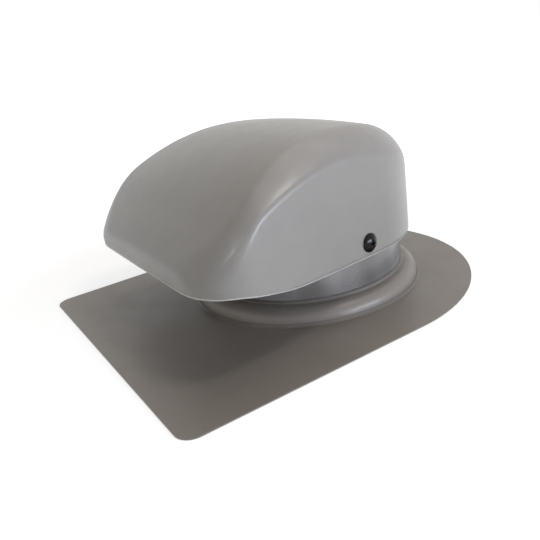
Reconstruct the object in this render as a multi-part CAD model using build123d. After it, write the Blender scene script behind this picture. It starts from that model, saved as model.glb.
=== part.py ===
from build123d import *
from math import asin, cos, degrees, radians, sin, sqrt
import os

# A deep-drawn sheet-metal roof vent for a round duct, in millimetres.
# It is drawn about the duct's axis, from the plane that lies on the roof.
# Each piece is moved when it is saved, so that the origin is the middle of the flange's underside.
# +Z is up, -Y is down the roof, where the mouth opens, and +Y is the half-round back.

# Sheet metal
sheet = 0.8

# Flange
flange_half_width = 130.0
flange_front = 175.0
flange_corner_radius = 11.0

# Neck with its stop bead, and the raised ring that sheds water round it
neck_bore_radius = 77.0
stop_bead_height = 45.0
stop_bead_half_width = 2.2
stop_bead_depth = 1.5
stop_bead_bend_radius = 1.5
ring_height = 12.5
ring_shoulder_width = 10.6
ring_slope_width = 1.0
ring_foot_radius = 1.8
ring_roll_radius = 9.4
neck_root_radius = 1.6
ring_blend_width = 12.0

# Curved rim of the neck, an arc about an axis across the vent
rim_radius = 175.0
rim_centre_y = 29.8
rim_crest_height = 85.0

# Upright wall of the hood seen from above: straight front, round corners, flat sides
hood_lip_reach = 136.0
hood_corner_radius = 42.0
hood_back_centre_y = -1.5
side_panel_deg = 10.0

# Cap of the hood, wider than the wall, which cuts it along a crease
cap_past_lip = 14.0
cap_corner_radius = 50.0
cap_bow_radius = 136.0
cap_bow_start_deg = 38.0
cap_flare_deg = 12.0
shoulder_radius = 34.0
crease_radius = 4.5

# Roof of the cap, an arc from front to back with a slight crown across
roof_height = 130.0
roof_crest_y = -14.0
roof_radius = 150.0
crown_radius = 900.0

# Lower edge of the hood seen from the side
lip_height = 54.0
lip_run_end_y = -112.0
edge_kink_y = -74.0
edge_kink_height = 44.2
edge_back_y = 14.0
edge_back_height = 39.6
edge_lip_bend_radius = 30.0
edge_kink_bend_radius = 30.0
edge_back_bend_radius = 80.0

# Hood screws and their spacers
spacer_length = 7.4
screw_y = -3.5
screw_height = 50.6
screw_head_radius = 6.7
screw_head_height = 3.6
screw_head_rim = 0.9
screw_shank_radius = 2.1
screw_clearance = 0.4
screw_point_length = 4.0
screw_past_neck = 7.0
recess_length = 6.0
recess_width = 1.3
recess_depth = 2.2
recess_floor_share = 0.4
spacer_radius = 5.5

# Damper and its hinge
damper_gap = 0.3
damper_overhang = 1.7
damper_tail_clearance = 1.6
lid_end_to_hinge = 4.0
hinge_y = 64.0
hinge_drop = 3.4
rod_radius = 1.2
rod_clearance = 0.05
ear_eye_radius = 2.6
ear_spacing = 46.0
ear_foot_top = 3.5
ear_foot_bottom = 14.0
lug_side_gap = 0.4
lug_foot_length = 9.0
clip_radius = 2.8
clip_thickness = 1.2
clip_gap = 0.3
rod_past_clip = 0.8

# Sizes worked out from the ones above
flange_middle_y = (flange_half_width - flange_front) / 2
neck_outer_radius = neck_bore_radius + sheet
hood_back_radius = neck_outer_radius + spacer_length + sheet
rim_centre_z = rim_crest_height - rim_radius
screw_hole_radius = screw_shank_radius + screw_clearance
damper_inner_radius = rim_radius + damper_gap
hinge_arc_radius = damper_inner_radius - hinge_drop
hinge_z = rim_centre_z + sqrt(hinge_arc_radius ** 2 - (hinge_y - rim_centre_y) ** 2)
ear_x = ear_spacing / 2
lug_x = ear_x - sheet - lug_side_gap
clip_start = ear_x + sheet / 2 + clip_gap

# Longer than the vent, for the bodies that cut it, and a gap too small to matter
far = 2 * flange_front
touching = 0.001
standing = (Align.CENTER, Align.CENTER, Align.MIN)


def save(node, solid):
    """Moves one named piece to the middle of the flange and writes it."""
    placed = Pos(0, -flange_middle_y, 0) * solid
    placed.label = node
    export_step(placed, f"parts/{node}.step")


def across_cylinder(radius, y, z, length):
    """A cylinder whose axis runs across the vent."""
    return Pos(0, y, z) * Rot(0, 90, 0) * Cylinder(radius, length)


def flange_outline():
    """Straight front, straight sides and a half-round back."""
    front = Pos(0, -flange_front / 2) * Rectangle(2 * flange_half_width, flange_front)
    corners = front.vertices().sort_by(Axis.Y)[:2]
    return fillet(corners, flange_corner_radius) + Circle(flange_half_width)


def neck_and_ring(foot_radius):
    """The sheet drawn up from the flange into the ring and the neck, turned about the duct's axis."""
    top_side = FilletPolyline(
        (foot_radius + ring_blend_width, sheet),
        (foot_radius, sheet),
        (foot_radius - ring_slope_width, ring_height),
        (neck_outer_radius, ring_height),
        (neck_outer_radius, stop_bead_height - stop_bead_half_width),
        (neck_outer_radius - stop_bead_depth, stop_bead_height),
        (neck_outer_radius, stop_bead_height + stop_bead_half_width),
        (neck_outer_radius, rim_crest_height + sheet),
        radius=[ring_foot_radius, ring_roll_radius, neck_root_radius] + 3 * [stop_bead_bend_radius],
    )
    section = make_face(offset(top_side, sheet, side=Side.LEFT, closed=True))
    return revolve(Plane.XZ * section, Axis.Z)


def hinge_plate(x, outline):
    """A flat tab across the hinge axis, with the rod's hole, drawn about that axis as (y, z)."""
    hole = Circle(rod_radius + rod_clearance)
    tab = extrude(Plane.YZ * (outline - hole), sheet / 2, both=True)
    return Pos(x, hinge_y, hinge_z) * tab


def ear(x):
    """A tab folded in from the neck's wall, which carries one end of the hinge rod."""
    wall_y = sqrt((neck_bore_radius + sheet / 2) ** 2 - x ** 2) - hinge_y
    foot = Polyline((wall_y, -ear_foot_top), (wall_y, -ear_foot_bottom))
    return hinge_plate(x, make_hull(Edge.make_circle(ear_eye_radius).edges() + foot.edges()))


def panel_plane(side, inset):
    """The plane of a flattened side of the hood, with its X up and its Z out of the vent."""
    angle = radians(side_panel_deg)
    out = Vector(side * cos(angle), sin(angle), 0)
    origin = Vector(0, hood_back_centre_y, 0) + out * (hood_back_radius - inset)
    return Plane(origin=origin, x_dir=(0, 0, 1), z_dir=out)


def screw_plane(side):
    """The outside of the side panel, with its origin in the middle of the screw's hole."""
    panel = panel_plane(side, 0)
    along = (screw_y - panel.origin.Y) / panel.y_dir.Y
    return Plane(panel * Pos(screw_height, along, 0))


def along_screw(side, radius, start, end):
    """A cylinder on the screw's axis, from start to end outward of the side panel."""
    return screw_plane(side) * Pos(0, 0, start) * Cylinder(radius, end - start, align=standing)


def base_flashing():
    """Flange, ring and neck in one sheet, with the curved rim, two hinge ears and two screw holes."""
    foot_radius = neck_outer_radius + ring_shoulder_width + ring_slope_width
    flange = extrude(flange_outline() - Circle(foot_radius + ring_blend_width), sheet)
    above_ring = Pos(0, 0, ring_height) * Box(far, far, far, align=standing)
    above_rim = above_ring - across_cylinder(rim_radius, rim_centre_y, rim_centre_z, far)
    base = flange + (neck_and_ring(foot_radius) - above_rim) + ear(-ear_x) + ear(ear_x)
    for side in (-1, 1):
        base -= along_screw(side, screw_shank_radius, -hood_back_radius / 2, 0)
    return base


def wall_outline(inset):
    """The upright wall seen from above, with its flat sides carried on behind the hood."""
    panel = panel_plane(1, inset)
    slope = panel.y_dir.X / panel.y_dir.Y

    def panel_x(y):
        return panel.origin.X + (y - panel.origin.Y) * slope

    front_y = inset - hood_lip_reach
    behind_y = hood_back_radius + shoulder_radius
    front_x, behind_x = panel_x(front_y), panel_x(behind_y)
    outline = Polyline(
        (-front_x, front_y), (front_x, front_y), (behind_x, behind_y), (-behind_x, behind_y), close=True
    )
    face = make_face(outline)
    return fillet(face.vertices().sort_by(Axis.Y)[:2], hood_corner_radius - inset)


def cap_outline(inset):
    """The cap seen from above: half-round back, bowed shoulders and straight flared sides."""
    back = hood_back_radius - inset
    bow = cap_bow_radius - inset
    start = radians(cap_bow_start_deg)
    flare = radians(cap_flare_deg)
    reach = cap_bow_radius - hood_back_radius
    bow_x = -reach * cos(start)
    bow_y = hood_back_centre_y - reach * sin(start)
    front_y = inset - hood_lip_reach - cap_past_lip

    def on_bow(angle):
        return bow_x + bow * cos(angle), bow_y + bow * sin(angle)

    def mirrored(point):
        return -point[0], point[1]

    first, middle, last = on_bow(start), on_bow((start + flare) / 2), on_bow(flare)
    corner = (last[0] + (last[1] - front_y) * sin(flare) / cos(flare), front_y)
    outline = [
        Line(mirrored(corner), corner),
        Line(corner, last),
        ThreePointArc(last, middle, first),
        ThreePointArc(first, (0, hood_back_centre_y + back), mirrored(first)),
        ThreePointArc(mirrored(first), mirrored(middle), mirrored(last)),
        Line(mirrored(last), mirrored(corner)),
    ]
    face = make_face(outline)
    return fillet(face.vertices().sort_by(Axis.Y)[:2], cap_corner_radius - inset)


def roof_barrel(inset):
    """A barrel lying across the vent, whose top is the crowned roof of the hood."""
    crown_centre = roof_radius - crown_radius
    end_radius = crown_centre + sqrt((crown_radius - inset) ** 2 - flange_half_width ** 2)
    section = make_face([
        Line((-flange_half_width, 0), (-flange_half_width, end_radius)),
        ThreePointArc(
            (-flange_half_width, end_radius), (0, roof_radius - inset), (flange_half_width, end_radius)
        ),
        Line((flange_half_width, end_radius), (flange_half_width, 0)),
        Line((flange_half_width, 0), (-flange_half_width, 0)),
    ])
    return Pos(0, roof_crest_y, roof_height - roof_radius) * revolve(Plane.XZ * section, Axis.X)


def hood_body(inset):
    """The solid form of the hood, every face moved in by the same distance."""
    cap = extrude(cap_outline(inset), roof_height) & roof_barrel(inset)
    top_edges = [edge for edge in cap.edges() if edge.bounding_box().min.Z > ring_height]
    cap = fillet(top_edges, shoulder_radius - inset)
    wall = wall_outline(inset)
    wall_line = wall.wire()
    body = cap & extrude(wall, roof_height)
    creases = []
    for edge in body.edges():
        middle = edge @ 0.5
        on_wall = wall_line.distance_to(Vertex(middle.X, middle.Y, 0)) < touching
        side_seam = abs((edge % 0.5).Z) > 1 - touching and middle.Y < hood_back_centre_y
        if on_wall and middle.Z > ring_height and not side_seam:
            creases.append(edge)
    return fillet(creases, crease_radius - inset)


def below_edge():
    """Everything under the hood's lower edge, which steps down behind the raised mouth."""
    edge = FilletPolyline(
        (-far, lip_height),
        (lip_run_end_y, lip_height),
        (edge_kink_y, edge_kink_height),
        (edge_back_y, edge_back_height),
        (far, edge_back_height),
        radius=[edge_lip_bend_radius, edge_kink_bend_radius, edge_back_bend_radius],
    )
    under = Polyline((far, edge_back_height), (far, -far), (-far, -far), (-far, lip_height))
    return extrude(Plane.YZ * make_face([edge, under]), far, both=True)


def hood():
    """One drawn shell, trimmed along its lower edge and pierced for the two screws."""
    shell = hood_body(0) - hood_body(sheet) - below_edge()
    for side in (-1, 1):
        shell -= along_screw(side, screw_hole_radius, -2 * sheet, sheet)
    return shell


def spacer(side):
    """A bush between the hood's side and the neck, its inner end cut to the neck."""
    tube = along_screw(side, spacer_radius, -hood_back_radius / 2, -sheet)
    tube -= along_screw(side, screw_hole_radius, -hood_back_radius / 2, 0)
    return tube - Cylinder(neck_outer_radius, far)


def screw_head():
    """A low dome on a thin rim, with a crossed recess that narrows towards its floor."""
    rise = screw_head_height - screw_head_rim
    dome_radius = (screw_head_radius ** 2 + rise ** 2) / (2 * rise)
    ball = Pos(0, 0, screw_head_height - dome_radius) * Sphere(dome_radius)
    dome = ball & Pos(0, 0, screw_head_rim) * Cylinder(screw_head_radius, rise, align=standing)
    head = Cylinder(screw_head_radius, screw_head_rim, align=standing) + dome
    mouth = Rectangle(recess_length, recess_width)
    floor = scale(mouth, recess_floor_share)
    slot = loft([Pos(0, 0, -recess_depth) * floor, mouth])
    for turn in (0, 90):
        head -= Pos(0, 0, screw_head_height) * Rot(0, 0, turn) * slot
    return head


def hood_screw(side):
    """A screw through the hood, the spacer and the neck, with its point inside the neck."""
    plane = screw_plane(side)
    length = abs(plane.origin.X) - neck_bore_radius + screw_past_neck
    shank = along_screw(side, screw_shank_radius, -length, 0)
    point = Pos(0, 0, -length) * Rot(180, 0, 0) * Cone(
        screw_shank_radius, screw_clearance, screw_point_length, align=standing
    )
    return plane * screw_head() + shank + plane * point


def damper():
    """A plate curved to lie on the neck's rim, with two lugs for the hinge rod and a short tail."""
    outer = across_cylinder(damper_inner_radius + sheet, rim_centre_y, rim_centre_z, far)
    inner = across_cylinder(damper_inner_radius, rim_centre_y, rim_centre_z, far)
    before_hinge = Pos(0, hinge_y - lid_end_to_hinge, 0) * Box(
        far, far, far, align=(Align.CENTER, Align.MAX, Align.CENTER)
    )
    lid = Cylinder(neck_outer_radius + damper_overhang, far) & before_hinge
    tail = Cylinder(neck_bore_radius - damper_tail_clearance, far)
    plate = (outer - inner) & (lid + tail) & Box(far, far, far, align=standing)
    slope = asin((hinge_y - rim_centre_y) / hinge_arc_radius)
    lug_top = hinge_drop + sheet / 2
    half_foot = lug_foot_length / 2
    foot = Rot(0, 0, -degrees(slope)) * Polyline((-half_foot, lug_top), (half_foot, lug_top))
    outline = make_hull(Edge.make_circle(ear_eye_radius).edges() + foot.edges())
    return plate + hinge_plate(-lug_x, outline) + hinge_plate(lug_x, outline)


def hinge_rod():
    """A plain rod through the ears and the damper's lugs."""
    half_length = clip_start + clip_thickness + rod_past_clip
    return across_cylinder(rod_radius, hinge_y, hinge_z, 2 * half_length)


def rod_clip(side):
    """A push-on clip that keeps the rod in its ears."""
    ring = Cylinder(clip_radius, clip_thickness) - Cylinder(rod_radius, clip_thickness)
    return Pos(side * (clip_start + clip_thickness / 2), hinge_y, hinge_z) * Rot(0, 90, 0) * ring


os.makedirs("parts", exist_ok=True)
save("base_flashing", base_flashing())
save("hood", hood())
save("damper", damper())
save("hinge_rod", hinge_rod())
for name, side in (("left", -1), ("right", 1)):
    save(f"{name}_spacer", spacer(side))
    save(f"{name}_hood_screw", hood_screw(side))
    save(f"{name}_rod_clip", rod_clip(side))
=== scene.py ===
import math

import bmesh
import bpy
import numpy as np
from mathutils import Matrix, Vector


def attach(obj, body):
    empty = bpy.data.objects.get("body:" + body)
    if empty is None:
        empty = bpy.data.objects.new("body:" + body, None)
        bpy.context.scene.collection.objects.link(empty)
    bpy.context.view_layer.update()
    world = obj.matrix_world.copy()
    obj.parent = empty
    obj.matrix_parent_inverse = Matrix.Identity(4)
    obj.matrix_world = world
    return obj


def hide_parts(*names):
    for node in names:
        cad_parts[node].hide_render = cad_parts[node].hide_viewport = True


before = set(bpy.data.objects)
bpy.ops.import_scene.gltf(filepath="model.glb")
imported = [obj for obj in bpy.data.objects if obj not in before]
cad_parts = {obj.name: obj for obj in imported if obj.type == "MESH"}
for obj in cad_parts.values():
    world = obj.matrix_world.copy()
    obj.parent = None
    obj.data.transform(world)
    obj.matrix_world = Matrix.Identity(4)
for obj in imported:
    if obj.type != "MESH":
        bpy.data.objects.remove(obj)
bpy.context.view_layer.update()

scene = bpy.context.scene

MM = 0.001
DUCT_Y = 22.5 * MM
WHITE = (1.0, 1.0, 1.0, 1.0)

# The hood's measures in millimetres, about the duct's axis, fitted to its outline and creases
LIP_Y = -136.0
BACK_R, BACK_Y, FLARE = 86.0, -1.5, math.radians(10)
CORNER_R = 39.0
CAP_PAST_LIP, CAP_CORNER_R = 8.5, 54.0
ROOF_Z, ROOF_Y, CROWN_R = 130.0, -19.0, 900.0
ROOF_START, ROOF_END, ROOF_STEPS = -150, 90, 481
SHEET = 0.8
WALL_TOP = 60.0
SCREW_HOLE_R, SCREW_Y, SCREW_Z, DRILL_LENGTH = 2.5, -3.5, 50.6, 6.0
# Along the roof: place, and how steeply it rises there in degrees
ROOF_SLOPES = ((-150, 50.0), (-136, 49.0), (-108, 43.0), (-100, 35.8), (-85, 27.5),
               (-60, 16.7), (-19, 0.0), (0, -5.3), (30, -13.8), (90, -32.1))
# Along the hood: place, and radius of the crease between the wall and the cap
CREASE = ((-150, 3.0), (-116, 3.0), (-92, 1.5), (90, 1.2))
# Along the hood: place, radius of the shoulder, and how far below the roof the crease runs
SHOULDER = ((-150, 13, 6.0), (-136, 15, 6.0), (-128, 19, 5.5), (-112, 23, 5.0), (-94, 26, 6.5),
            (-74, 31, 9.8), (-50, 35, 11.8), (-20, 36, 12.8), (10, 31, 15.0), (90, 21, 20.8))
# Along the hood: place, and height of the sheet's lower edge
LOWER_EDGE = ((-200, 54.0), (-122, 54.0), (-116, 53.6), (-112, 53.0), (-106, 51.7), (-98, 49.9),
              (-84, 46.6), (-78, 45.4), (-73, 44.6), (-66, 43.8), (-58, 43.3), (-20, 41.4),
              (2, 40.4), (14, 40.0), (26, 39.7), (200, 39.6))

# The hood's mesh, also in millimetres, but for the angles in degrees
FRONT_STEP = 2.5
BEND_REACH, BEND_POINTS = 48, 64
SIDE_POINTS, BACK_POINTS = 44, 50
# Places round the outline, and where on the middle line each of them is seen from
SEEN_AT, SEEN_FROM = (-136, -110, 20, 84.5), (-70, -66, -12, 0)
RAY_LENGTH, HALVINGS = 220.0, 36
RAY_ANGLES = np.concatenate([np.arange(0, 8, 0.4), np.arange(8, 48, 0.5), np.arange(48, 91, 2.0)])
ROWS_UNDER_RAYS = 8
SAME_POINT = 0.02 * MM

# Coating shades on the screen's scale, and the height of the neck's drawn band
HOOD_SHADE = (144, 140, 135)
# The base has the same coating as the hood; its darker shade here is painted shade
BASE_PAINTED_SHADE = (135, 128, 120)
BARE_METAL = (214, 212, 208)
NECK_FOOT, NECK_TOP = 14 * MM, 43 * MM
BASE_GLOSS = (0.42, 0.5)

# The camera stands where the photograph was taken from
CAMERA_PLACE = (0.37957, -0.25172 + DUCT_Y, 0.18867)
CAMERA_TURN = (60.07, 21.32, -8.51)
SENSOR, LENS = 36, 39.49
# Lamps: place, aim, size and watts, then colour
LAMPS = {
    "overhead": ((-0.05, 0.15, 0.62), (0.0, 0.03, 0.08), (0.5, 0.5), 0.75,
                 (1.0, 0.97, 0.925)),
    "over_shoulder": ((0.38, 0.22, 0.80), (0.05, 0.0, 0.1), (0.16, 0.16), 1.2,
                      (1.0, 0.93, 0.84)),
    "right_window": ((1.15, 0.42, 0.18), (0.0, 0.02, 0.09), (0.7, 0.25), 10.2,
                     (0.78, 0.845, 1.0)),
    "front_high": ((0.24, -0.95, 0.66), (0.03, -0.1, 0.07), (0.12, 0.12), 1.45,
                   (0.97, 0.985, 1.0)),
}
SKY_LIGHT = 0.2
FLOOR_REACH, FLOOR_DROP = 6.0, 0.0003
# Round the vent the floor glows less, so that the shadow shows
FLOOR_GLOW, GLOW_START, GLOW_END = 0.55, 0.2, 0.55


def srgb(r, g, b):
    """A screen colour, 0 to 255, as the linear colour that a shader takes."""
    def linear(c):
        c /= 255
        return c / 12.92 if c <= 0.04045 else ((c + 0.055) / 1.055) ** 2.4
    return linear(r), linear(g), linear(b), 1.0


def scaled(shade, factor):
    """A screen colour made lighter or darker, as a shader takes it."""
    return srgb(*[min(255, c * factor) for c in shade])


class Graph:
    """A short way to wire one material's nodes."""

    def __init__(self, name):
        self.material = bpy.data.materials.new(name)
        self.material.use_nodes = True
        self.tree = self.material.node_tree
        self.shader = self.tree.nodes["Principled BSDF"]
        self.here = self.node("ShaderNodeTexCoord").outputs["Object"]

    def node(self, kind, **values):
        made = self.tree.nodes.new(kind)
        for key, value in values.items():
            setattr(made, key, value)
        return made

    def link(self, source, target):
        self.tree.links.new(source, target)

    def put(self, target, value):
        """Feeds a socket from another socket, or with a constant."""
        if isinstance(value, bpy.types.NodeSocket):
            self.link(value, target)
        else:
            target.default_value = value

    def noise(self, scale, detail=3.0, rough=0.5, stretch=(1, 1, 1)):
        mapping = self.node("ShaderNodeMapping")
        self.link(self.here, mapping.inputs["Vector"])
        mapping.inputs["Scale"].default_value = stretch
        made = self.node("ShaderNodeTexNoise")
        self.link(mapping.outputs["Vector"], made.inputs["Vector"])
        made.inputs["Scale"].default_value = scale
        made.inputs["Detail"].default_value = detail
        made.inputs["Roughness"].default_value = rough
        return made.outputs["Fac"]

    def cells(self, scale):
        made = self.node("ShaderNodeTexVoronoi")
        self.link(self.here, made.inputs["Vector"])
        made.inputs["Scale"].default_value = scale
        return made.outputs["Distance"]

    def math(self, operation, a, b):
        made = self.node("ShaderNodeMath", operation=operation)
        self.put(made.inputs[0], a)
        self.put(made.inputs[1], b)
        return made.outputs[0]

    def ramp(self, value, low, high, to_low=0.0, to_high=1.0):
        """A smooth step: to_low where the value is low, to_high where it is high."""
        made = self.node("ShaderNodeMapRange", interpolation_type="SMOOTHSTEP")
        self.put(made.inputs["Value"], value)
        made.inputs["From Min"].default_value = low
        made.inputs["From Max"].default_value = high
        made.inputs["To Min"].default_value = to_low
        made.inputs["To Max"].default_value = to_high
        return made.outputs["Result"]

    def band(self, value, low, low_end, high_end, high):
        """One between low_end and high_end, fading to nothing at low and at high."""
        return self.math("MULTIPLY", self.ramp(value, low, low_end),
                         self.ramp(value, high, high_end))

    def mix(self, share, a, b):
        made = self.node("ShaderNodeMix", data_type="RGBA")
        self.put(made.inputs["Factor"], share)
        self.put(made.inputs[6], a)
        self.put(made.inputs[7], b)
        return made.outputs[2]

    def curve(self, value, points):
        """A height read along a bent line, from (place, height) points between 0 and 1."""
        made = self.node("ShaderNodeFloatCurve")
        line = made.mapping.curves[0]
        line.points[0].location, line.points[1].location = points[0], points[-1]
        for place in points[1:-1]:
            line.points.new(*place)
        made.mapping.update()
        self.link(value, made.inputs["Value"])
        return made.outputs[0]

    def axis(self, name):
        """One coordinate of the point, in metres."""
        made = self.node("ShaderNodeSeparateXYZ")
        self.link(self.here, made.inputs[0])
        return made.outputs[name]

    def bump(self, height, strength, distance, under=None):
        made = self.node("ShaderNodeBump")
        made.inputs["Strength"].default_value = strength
        made.inputs["Distance"].default_value = distance
        self.link(height, made.inputs["Height"])
        if under is not None:
            self.link(under, made.inputs["Normal"])
        return made.outputs["Normal"]

    def finish(self, color, roughness, normal=None, **constants):
        self.put(self.shader.inputs["Base Color"], color)
        self.put(self.shader.inputs["Roughness"], roughness)
        if normal is not None:
            self.link(normal, self.shader.inputs["Normal"])
        for key, value in constants.items():
            self.shader.inputs[key.replace("_", " ")].default_value = value
        return self.material


def round_meet(a, b, radius):
    """Two distances met with a round edge: the larger one, and an arc where both are small."""
    square = np.minimum(np.maximum(a + radius, b + radius), 0)
    return square + np.hypot(np.maximum(a + radius, 0), np.maximum(b + radius, 0)) - radius


def side_distance(x, y):
    """How far outside the flat sides and the half-round back a point lies, from above."""
    away, along = np.abs(x), y - BACK_Y
    c, s = math.cos(FLARE), math.sin(FLARE)
    return np.where(along * c > away * s, np.hypot(away, along), away * c + along * s) - BACK_R


def roof_line():
    """The roof along the middle: places, slopes in radians and heights, crest at ROOF_Z."""
    places = np.linspace(ROOF_START, ROOF_END, ROOF_STEPS)
    slopes = np.radians(np.interp(places, *zip(*ROOF_SLOPES)))
    steep = np.tan(slopes)
    rises = (steep[1:] + steep[:-1]) / 2 * np.diff(places)
    heights = np.concatenate([[0], np.cumsum(rises)])
    return places, slopes, heights + ROOF_Z - np.interp(ROOF_Y, places, heights)


ROOF_PLACES, ROOF_ANGLES, ROOF_HEIGHTS = roof_line()


def hood_distance(point, inset):
    """Roughly how far outside the hood a point lies.

    The hood is an upright wall under a wider cap with a rolled shoulder.
    """
    x, y, z = point
    side = side_distance(x, y)
    wall = round_meet(LIP_Y - y, side, CORNER_R)
    places, radii, drops = zip(*SHOULDER)
    radius, drop = np.interp(y, places, radii), np.interp(y, places, drops)
    wider = radius - np.sqrt(np.maximum(radius ** 2 - (radius - drop) ** 2, 0))
    cap = round_meet(LIP_Y - CAP_PAST_LIP - y, side - wider, CAP_CORNER_R)
    crown = np.sqrt(CROWN_R ** 2 - x ** 2) - CROWN_R
    above_roof = z - np.interp(y, ROOF_PLACES, ROOF_HEIGHTS) - crown
    roof = above_roof * np.cos(np.interp(y, ROOF_PLACES, ROOF_ANGLES))
    crease = np.interp(y, *zip(*CREASE))
    return round_meet(wall, round_meet(cap, roof, radius), crease) + inset


def hood_stations():
    """Points once round the hood near its wall, and where each is seen from."""
    c, s = math.cos(FLARE), math.sin(FLARE)
    front_x = (BACK_R - (LIP_Y - BACK_Y) * s) / c
    corner = np.array([(front_x, LIP_Y)])
    front_places = np.arange(0, front_x - BEND_REACH, FRONT_STEP)
    front = np.stack([front_places, np.full(len(front_places), LIP_Y)], 1)
    turn = np.linspace(0, 1, BEND_POINTS)[:, None]
    front_end = corner - (BEND_REACH, 0)
    side_start = corner + np.array([(-s, c)]) * BEND_REACH
    bend = (1 - turn) ** 2 * front_end + 2 * turn * (1 - turn) * corner + turn ** 2 * side_start
    side_end = np.array([(BACK_R * c, BACK_Y + BACK_R * s)])
    side_share = np.linspace(0, 1, SIDE_POINTS)[1:, None]
    side = side_start + side_share * (side_end - side_start)
    angle = np.linspace(FLARE, math.pi / 2, BACK_POINTS)[1:]
    back = np.stack([BACK_R * np.cos(angle), BACK_Y + BACK_R * np.sin(angle)], 1)
    right = np.concatenate([front, bend, side, back])
    right[-1, 0] = 0
    around = np.concatenate([right, right[-2:0:-1] * (-1, 1)])
    return around, np.interp(around[:, 1], SEEN_AT, SEEN_FROM)


def hood_rows(inset):
    """Rows of points over one face of the sheet, from its lower edge to the roof's middle."""
    around, middle_y = hood_stations()
    middle = np.stack([np.zeros(len(around)), middle_y], 1)
    outward = around - middle
    outward /= np.hypot(*outward.T)[:, None]
    rows = []
    for angle in np.radians(RAY_ANGLES):
        level, upward = math.cos(angle), math.sin(angle)
        near, far = np.zeros(len(around)), np.full(len(around), RAY_LENGTH)
        for _ in range(HALVINGS):
            half = (near + far) / 2
            x, y = (middle + outward * (half * level)[:, None]).T
            inside = hood_distance((x, y, WALL_TOP + upward * half), inset) < 0
            near, far = np.where(inside, half, near), np.where(inside, far, half)
        x, y = (middle + outward * (near * level)[:, None]).T
        if not rows:
            edge = np.interp(y, *zip(*LOWER_EDGE))
            shares = np.linspace(0, 1, ROWS_UNDER_RAYS + 1)[:-1]
            rows = [np.stack([x, y, edge + (WALL_TOP - edge) * share], 1) for share in shares]
        rows.append(np.stack([x, y, WALL_TOP + upward * near], 1))
    return np.array(rows)


def drill(shell, side):
    """Cuts the hole that one screw goes through, square to the side panel."""
    c, s = math.cos(FLARE), math.sin(FLARE)
    away = BACK_R - (SCREW_Y - BACK_Y) * s
    middle = Vector((side * away / c, SCREW_Y, SCREW_Z)) * MM + Vector((0, DUCT_Y, 0))
    axis = Vector((side * c, s, 0))
    place = Matrix.Translation(middle) @ axis.to_track_quat("Z", "Y").to_matrix().to_4x4()
    made = bmesh.new()
    bmesh.ops.create_cone(made, cap_ends=True, segments=32, radius1=SCREW_HOLE_R * MM,
                          radius2=SCREW_HOLE_R * MM, depth=DRILL_LENGTH * MM, matrix=place)
    mesh = bpy.data.meshes.new("drill")
    made.to_mesh(mesh)
    made.free()
    cutter = bpy.data.objects.new("drill", mesh)
    scene.collection.objects.link(cutter)
    cut = shell.modifiers.new("hole", "BOOLEAN")
    cut.operation, cut.solver, cut.object = "DIFFERENCE", "EXACT", cutter
    evaluated = shell.evaluated_get(bpy.context.evaluated_depsgraph_get())
    drilled = bpy.data.meshes.new_from_object(evaluated)
    shell.modifiers.clear()
    shell.data = drilled
    bpy.data.objects.remove(cutter)


def hood_shell():
    """The drawn hood as a closed sheet: outer face, inner face and the cut edge between."""
    outer, inner = hood_rows(0.0), hood_rows(SHEET)
    count, around = outer.shape[:2]
    points = np.concatenate([outer.reshape(-1, 3), inner.reshape(-1, 3)]) * MM
    points[:, 1] += DUCT_Y
    faces = []
    for row in range(count - 1):
        for k in range(around):
            a, b = row * around + k, row * around + (k + 1) % around
            faces.append((a, b, b + around, a + around))
            a, b = a + count * around, b + count * around
            faces.append((a, a + around, b + around, b))
    drawn = len(faces)
    for k in range(around):
        a, b = k, (k + 1) % around
        faces.append((b, a, a + count * around, b + count * around))
    mesh = bpy.data.meshes.new("hood_shell")
    mesh.from_pydata(points.tolist(), [], faces)
    mesh.polygons.foreach_set("use_smooth", [True] * drawn + [False] * around)
    made = bmesh.new()
    made.from_mesh(mesh)
    bmesh.ops.remove_doubles(made, verts=made.verts, dist=SAME_POINT)
    made.to_mesh(mesh)
    made.free()
    shell = bpy.data.objects.new("hood_shell", mesh)
    scene.collection.objects.link(shell)
    for side in (-1, 1):
        drill(shell, side)
    return shell


def along_lower_edge(g):
    """How high a point of the hood lies above its lower edge, in metres."""
    start, reach, tall = -150, 250, 100
    from_start = g.math("SUBTRACT", g.axis("Y"), start * MM + DUCT_Y)
    share = g.math("DIVIDE", from_start, reach * MM)
    points = [(min(1, max(0, (y - start) / reach)), z / tall) for y, z in LOWER_EDGE]
    edge = g.math("MULTIPLY", g.curve(share, points), tall * MM)
    return g.math("SUBTRACT", g.axis("Z"), edge)


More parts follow.
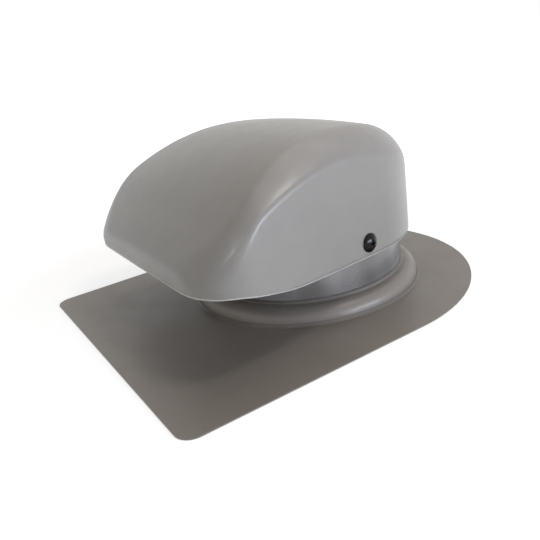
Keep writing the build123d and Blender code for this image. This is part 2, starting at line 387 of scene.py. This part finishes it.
def drawn_neck(g, shade, color, gloss, normal):
    """The neck's stretched coating: upright streaks and gloss, painted reflection bands, and
    painted shade in its foot and root creases.
    """
    height = g.axis("Z")
    band = g.band(height, NECK_FOOT, NECK_FOOT + 2 * MM, NECK_TOP, NECK_TOP + 2 * MM)
    lines = g.noise(26.0, 1.0, 0.4, stretch=(1.0, 1.0, 0.02))
    normal = g.bump(g.math("MULTIPLY", lines, band), 0.6, 0.006, normal)
    # Painted reflection: light and dark cool-grey upright bands over the neck's band, laid on the
    # drawing streaks
    painted_reflection_bands = g.mix(g.ramp(lines, 0.38, 0.62), srgb(116, 116, 117), srgb(154, 154, 156))
    color = g.mix(g.math("MULTIPLY", band, 0.7), color, painted_reflection_bands)
    # Painted shade: the foot fillet and the neck's root crease are darkened; the root's dark line
    # is partly a draw line
    foot_painted_shade = g.band(height, 0.85 * MM, 1.2 * MM, 2.5 * MM, 4 * MM)
    root_painted_shade = g.band(height, 12.55 * MM, 12.9 * MM, 13.9 * MM, 14.6 * MM)
    corner = g.math("MAXIMUM", foot_painted_shade, g.math("MULTIPLY", root_painted_shade, 0.8))
    color = g.mix(g.math("MULTIPLY", corner, 0.6), color, scaled(shade, 0.6))
    gloss = g.math("ADD", gloss, g.math("MULTIPLY", corner, 0.3))
    gloss = g.math("SUBTRACT", gloss, g.math("MULTIPLY", band, 0.2))
    g.link(g.math("MULTIPLY", band, 0.45), g.shader.inputs["Metallic"])
    return color, gloss, normal


def coated_steel(name, shade, drawn=False, cut_edge=False, rough=(0.30, 0.38)):
    """Satin coating on sheet: orange peel, faint lines, pale specks and a bare cut edge."""
    g = Graph(name)
    cloud = g.noise(7.0, 4.0, 0.55)
    mottle = g.noise(60.0, 3.0, 0.6)
    speck = g.noise(1100.0, 2.0, 0.6)
    peel = g.noise(620.0, 2.0, 0.5)
    color = g.mix(g.ramp(cloud, 0.32, 0.68), scaled(shade, 0.965), scaled(shade, 1.035))
    color = g.mix(g.ramp(mottle, 0.35, 0.75, 0.0, 0.2), color, scaled(shade, 0.92))
    color = g.mix(g.ramp(speck, 0.62, 0.72, 0.0, 0.3), color, scaled(shade, 1.22))
    gloss = g.math("ADD", g.ramp(cloud, 0.3, 0.7, *rough), g.ramp(mottle, 0.3, 0.7, -0.02, 0.03))
    normal = g.bump(peel, 0.10, 0.0003)
    upright_lines = g.noise(38.0, 3.0, 0.6, stretch=(1.0, 1.0, 0.05))
    normal = g.bump(upright_lines, 0.06, 0.0006, normal)
    normal = g.bump(g.noise(9.0, 2.0, 0.5), 0.05, 0.006, normal)
    if drawn:
        color, gloss, normal = drawn_neck(g, shade, color, gloss, normal)
    if cut_edge:
        ragged = g.math("ADD", along_lower_edge(g), g.math("MULTIPLY", mottle, 0.5 * MM))
        bare = g.ramp(ragged, 1.15 * MM, 0.85 * MM)
        color = g.mix(bare, color, srgb(*BARE_METAL))
    return g.finish(color, gloss, normal, Coat_Weight=0.1, Coat_Roughness=0.2,
                    Specular_IOR_Level=0.45)


def black_screw():
    g = Graph("black_screw")
    cloud = g.noise(700.0, 3.0, 0.6)
    color = g.mix(g.ramp(cloud, 0.4, 0.7), srgb(4, 4, 5), srgb(12, 12, 13))
    rubbed = g.ramp(g.noise(2600.0, 2.0, 0.6), 0.66, 0.74, 0.0, 0.4)
    color = g.mix(rubbed, color, srgb(44, 44, 46))
    normal = g.bump(g.noise(1800.0, 2.0, 0.5), 0.12, 0.0002)
    gloss = g.ramp(cloud, 0.3, 0.7, 0.14, 0.24)
    return g.finish(color, gloss, normal, Specular_IOR_Level=0.22)


def zinc():
    g = Graph("zinc_plate")
    cells = g.cells(420.0)
    color = g.mix(g.ramp(cells, 0.1, 0.7), srgb(186, 190, 194), srgb(150, 153, 156))
    normal = g.bump(g.noise(1500.0, 2.0, 0.5, stretch=(0.1, 1, 1)), 0.15, 0.0002)
    return g.finish(color, g.ramp(cells, 0.0, 0.8, 0.28, 0.4), normal, Metallic=1.0)


def nylon():
    g = Graph("black_nylon")
    grain = g.noise(1200.0, 3.0, 0.6)
    color = g.mix(g.ramp(grain, 0.3, 0.7), srgb(26, 26, 27), srgb(38, 38, 39))
    return g.finish(color, g.ramp(grain, 0.3, 0.7, 0.5, 0.6), g.bump(grain, 0.2, 0.0002))


def paint(node, material):
    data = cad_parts[node].data
    data.materials.clear()
    data.materials.append(material)


hood_coating = coated_steel("hood_coating", HOOD_SHADE, cut_edge=True)
paint("hood", hood_coating)
shell = hood_shell()
shell.data.materials.append(hood_coating)
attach(shell, "vent_body")
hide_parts("hood")
# The base's material carries painted light: a darker shade than the hood, painted shade in the
# neck's creases and painted reflection bands on the neck
paint("base_flashing", coated_steel("base_coating_painted_light", BASE_PAINTED_SHADE, drawn=True, rough=BASE_GLOSS))
paint("damper", coated_steel("damper_coating", HOOD_SHADE))
screw_black, zinc_plate, black_nylon = black_screw(), zinc(), nylon()
for side in ("left", "right"):
    paint(f"{side}_hood_screw", screw_black)
    paint(f"{side}_rod_clip", zinc_plate)
    paint(f"{side}_spacer", black_nylon)
paint("hinge_rod", zinc_plate)


def look_from(azimuth, elevation, roll):
    """The axes of a camera that looks back along this direction, in degrees."""
    az, el, turn = map(math.radians, (azimuth, elevation, roll))
    back = Vector((math.sin(az) * math.cos(el), -math.cos(az) * math.cos(el), math.sin(el)))
    level = Vector((math.cos(az), math.sin(az), 0))
    up = back.cross(level)
    right = math.cos(turn) * level + math.sin(turn) * up
    top = math.cos(turn) * up - math.sin(turn) * level
    return right, top, back


def add_camera():
    data = bpy.data.cameras.new("camera")
    data.sensor_width = SENSOR
    data.lens = LENS
    data.clip_start, data.clip_end = 0.02, 20
    camera = bpy.data.objects.new("camera", data)
    scene.collection.objects.link(camera)
    place = Matrix(look_from(*CAMERA_TURN)).transposed().to_4x4()
    place.translation = Vector(CAMERA_PLACE)
    camera.matrix_world = place
    scene.camera = camera


def add_lamp(name, where, aim, size, watts, color):
    data = bpy.data.lights.new(name, "AREA")
    data.shape = "RECTANGLE"
    data.size, data.size_y = size
    data.energy = watts
    data.color = color
    lamp = bpy.data.objects.new(name, data)
    scene.collection.objects.link(lamp)
    lamp.location = where
    lamp.rotation_mode = "QUATERNION"
    lamp.rotation_quaternion = (Vector(aim) - Vector(where)).to_track_quat("-Z", "Y")


def seen_rays(tree):
    """One where a camera, glossy or transmission ray sees the surface, else nothing."""
    rays = tree.nodes.new("ShaderNodeLightPath")
    total = rays.outputs["Is Camera Ray"]
    for kind in ("Is Glossy Ray", "Is Transmission Ray"):
        larger = tree.nodes.new("ShaderNodeMath")
        larger.operation = "MAXIMUM"
        tree.links.new(total, larger.inputs[0])
        tree.links.new(rays.outputs[kind], larger.inputs[1])
        total = larger.outputs[0]
    return total


def add_world():
    """White where it is seen, and a weak even light on the vent."""
    world = bpy.data.worlds.new("world")
    scene.world = world
    world.use_nodes = True
    tree = world.node_tree
    tree.nodes.clear()
    blend = tree.nodes.new("ShaderNodeMixShader")
    tree.links.new(seen_rays(tree), blend.inputs[0])
    for place, strength in ((1, SKY_LIGHT), (2, 1.0)):
        light = tree.nodes.new("ShaderNodeBackground")
        light.inputs["Color"].default_value = WHITE
        light.inputs["Strength"].default_value = strength
        tree.links.new(light.outputs[0], blend.inputs[place])
    out = tree.nodes.new("ShaderNodeOutputWorld")
    tree.links.new(blend.outputs[0], out.inputs["Surface"])


def add_floor():
    """A wide plain sheet that shows white, with the vent's soft shadow, and clear from below."""
    mesh = bpy.data.meshes.new("floor")
    r = FLOOR_REACH
    mesh.from_pydata([(-r, -r, 0), (r, -r, 0), (r, r, 0), (-r, r, 0)], [], [(0, 1, 2, 3)])
    floor = bpy.data.objects.new("floor", mesh)
    scene.collection.objects.link(floor)
    floor.location.z = -FLOOR_DROP
    g = Graph("floor_white")
    tone = g.mix(g.noise(4.0, 3.0), srgb(236, 236, 236), srgb(240, 240, 240))
    g.finish(tone, 0.8, Specular_IOR_Level=0.1, Emission_Color=WHITE)
    distance = g.node("ShaderNodeVectorMath", operation="LENGTH")
    g.link(g.here, distance.inputs[0])
    glow = g.ramp(distance.outputs["Value"], GLOW_START, GLOW_END, FLOOR_GLOW, 1.0)
    g.link(g.math("MULTIPLY", glow, seen_rays(g.tree)), g.shader.inputs["Emission Strength"])
    clear = g.node("ShaderNodeBsdfTransparent")
    blend = g.node("ShaderNodeMixShader")
    g.link(g.node("ShaderNodeNewGeometry").outputs["Backfacing"], blend.inputs[0])
    g.link(g.shader.outputs[0], blend.inputs[1])
    g.link(clear.outputs[0], blend.inputs[2])
    g.link(blend.outputs[0], g.tree.nodes["Material Output"].inputs["Surface"])
    mesh.materials.append(g.material)


add_camera()
for name, values in LAMPS.items():
    add_lamp(name, *values)
add_world()
add_floor()

scene.view_settings.view_transform = "Standard"
